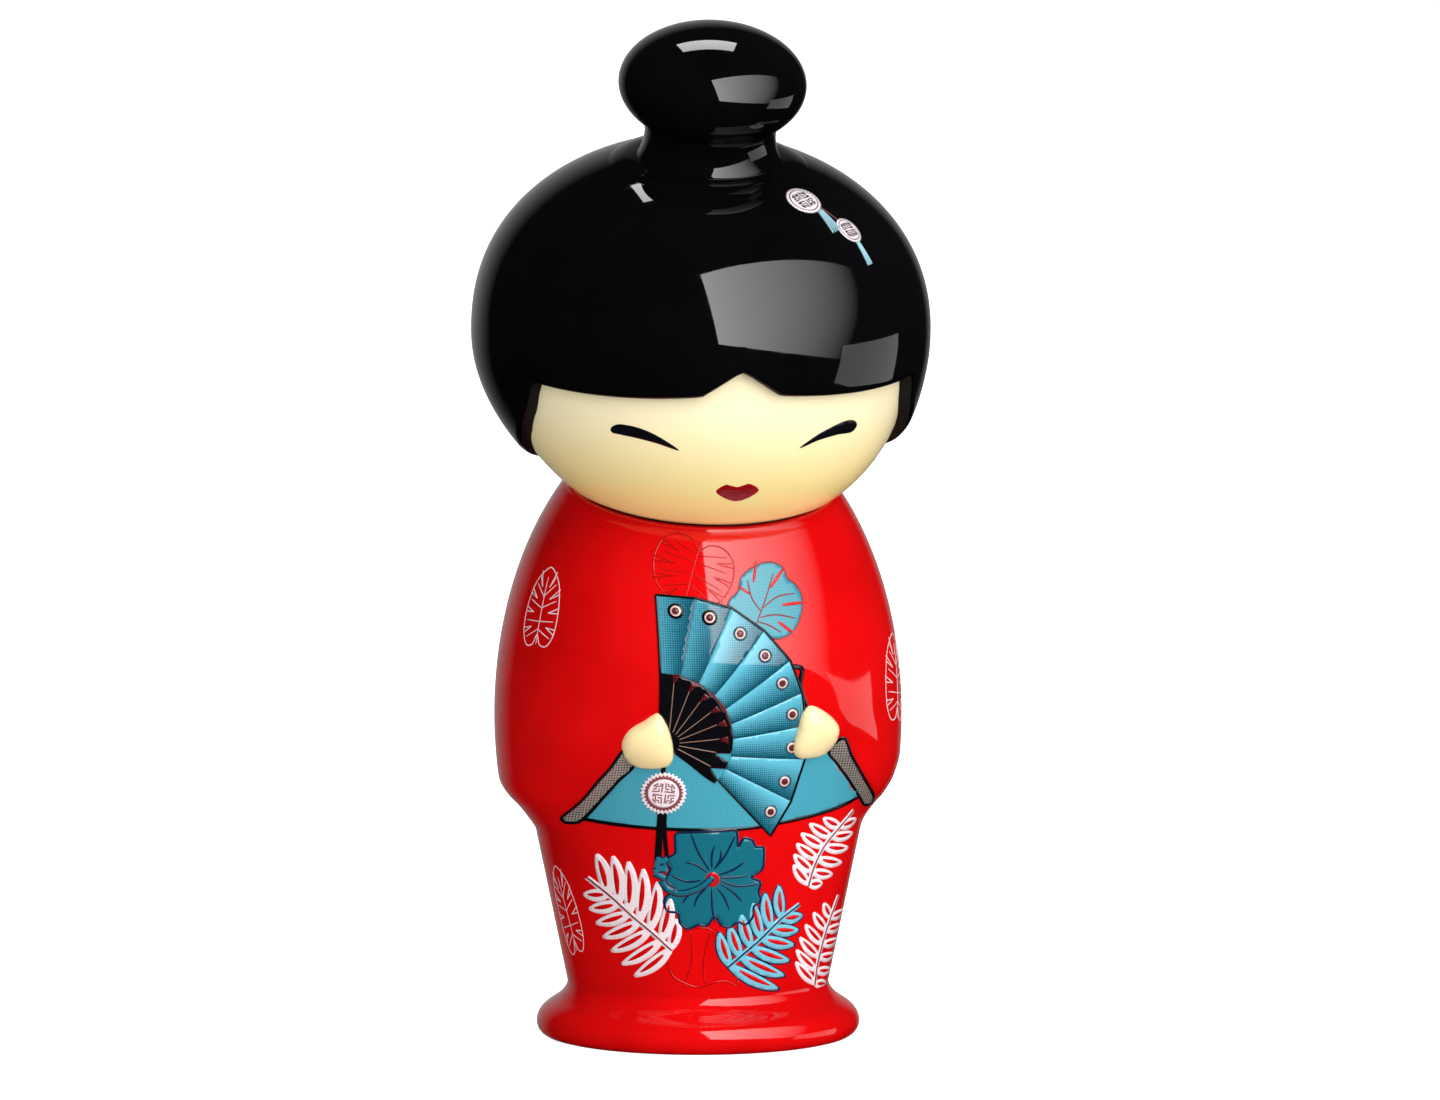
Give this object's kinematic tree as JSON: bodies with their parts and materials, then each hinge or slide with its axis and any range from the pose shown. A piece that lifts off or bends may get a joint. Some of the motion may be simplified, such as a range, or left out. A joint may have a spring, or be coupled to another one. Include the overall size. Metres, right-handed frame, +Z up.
{
  "type": "kokeshi doll storage jar",
  "caption": "Glazed porcelain kokeshi doll jar: bowing head is a lift-off lid that plugs into the hollow kimono body through a soft seal.",
  "frame": {"origin": "centre of the foot ring's resting face", "axes": "+Z up along the jar's axis, -Y to the front where the face looks, +X to the doll's left"},
  "size_m": [0.0802, 0.0857, 0.1803],
  "materials": {
    "red_glaze": "gloss",
    "cream_glaze": "gloss",
    "black_glaze": "gloss",
    "seal_rubber": "matt"
  },
  "bodies": {
    "jar": {"jar_body": "red_glaze", "left_sleeve": "red_glaze", "right_sleeve": "red_glaze", "left_hand": "cream_glaze", "right_hand": "cream_glaze"},
    "seal": {"seal_ring": "seal_rubber"},
    "head": {"head_shell": "cream_glaze", "hair_cap": "black_glaze", "hair_tie": "black_glaze", "hair_bun": "black_glaze"}
  },
  "joints": [
    {"name": "lid_lift", "type": "slide", "parent": "jar", "child": "seal", "axis": [0, -0.2419, 0.9703], "range_m": [0, 0.11]},
    {"name": "head_turn", "type": "hinge", "parent": "seal", "child": "head", "pos_m": [0, -0.0042, 0.09825], "axis": [0, -0.2419, 0.9703], "continuous": true}
  ]
}
